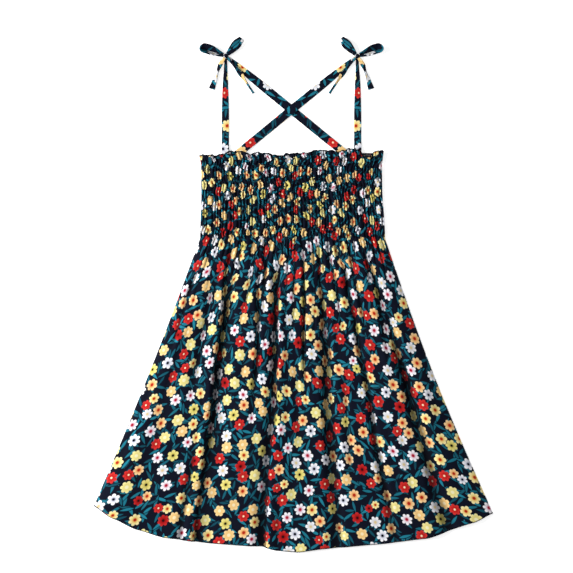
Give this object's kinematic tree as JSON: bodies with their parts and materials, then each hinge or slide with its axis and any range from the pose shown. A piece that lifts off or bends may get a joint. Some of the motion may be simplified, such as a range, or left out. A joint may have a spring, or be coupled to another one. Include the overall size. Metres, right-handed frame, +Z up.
{
  "type": "child's shirred sundress with tie straps, laid flat",
  "caption": "Child's sundress laid flat: shirred bodice with a ruffled neck edge, flared skirt, and tie straps that cross at the back and end in bows.",
  "frame": {"origin": "on the surface that the dress lies on, in the middle of its box", "axes": "+X across the dress, towards the right of someone looking down on its front, +Y from the hem to the neck, +Z up from the surface"},
  "size_m": [0.498, 0.6428, 0.0149],
  "materials": {
    "floral_cotton": "matte woven cotton, dark navy with a small all-over print of flowers and leaves"
  },
  "bodies": {
    "root": {"front_panel": "floral_cotton", "back_panel": "floral_cotton", "front_strap_left": "floral_cotton", "front_strap_right": "floral_cotton", "back_strap_left": "floral_cotton", "back_strap_right": "floral_cotton", "bow_knot_left": "floral_cotton", "bow_knot_right": "floral_cotton", "bow_outer_loop_left": "floral_cotton", "bow_outer_loop_right": "floral_cotton", "bow_inner_loop_left": "floral_cotton", "bow_inner_loop_right": "floral_cotton", "bow_outer_tail_left": "floral_cotton", "bow_outer_tail_right": "floral_cotton", "bow_inner_tail_left": "floral_cotton", "bow_inner_tail_right": "floral_cotton"}
  },
  "joints": []
}
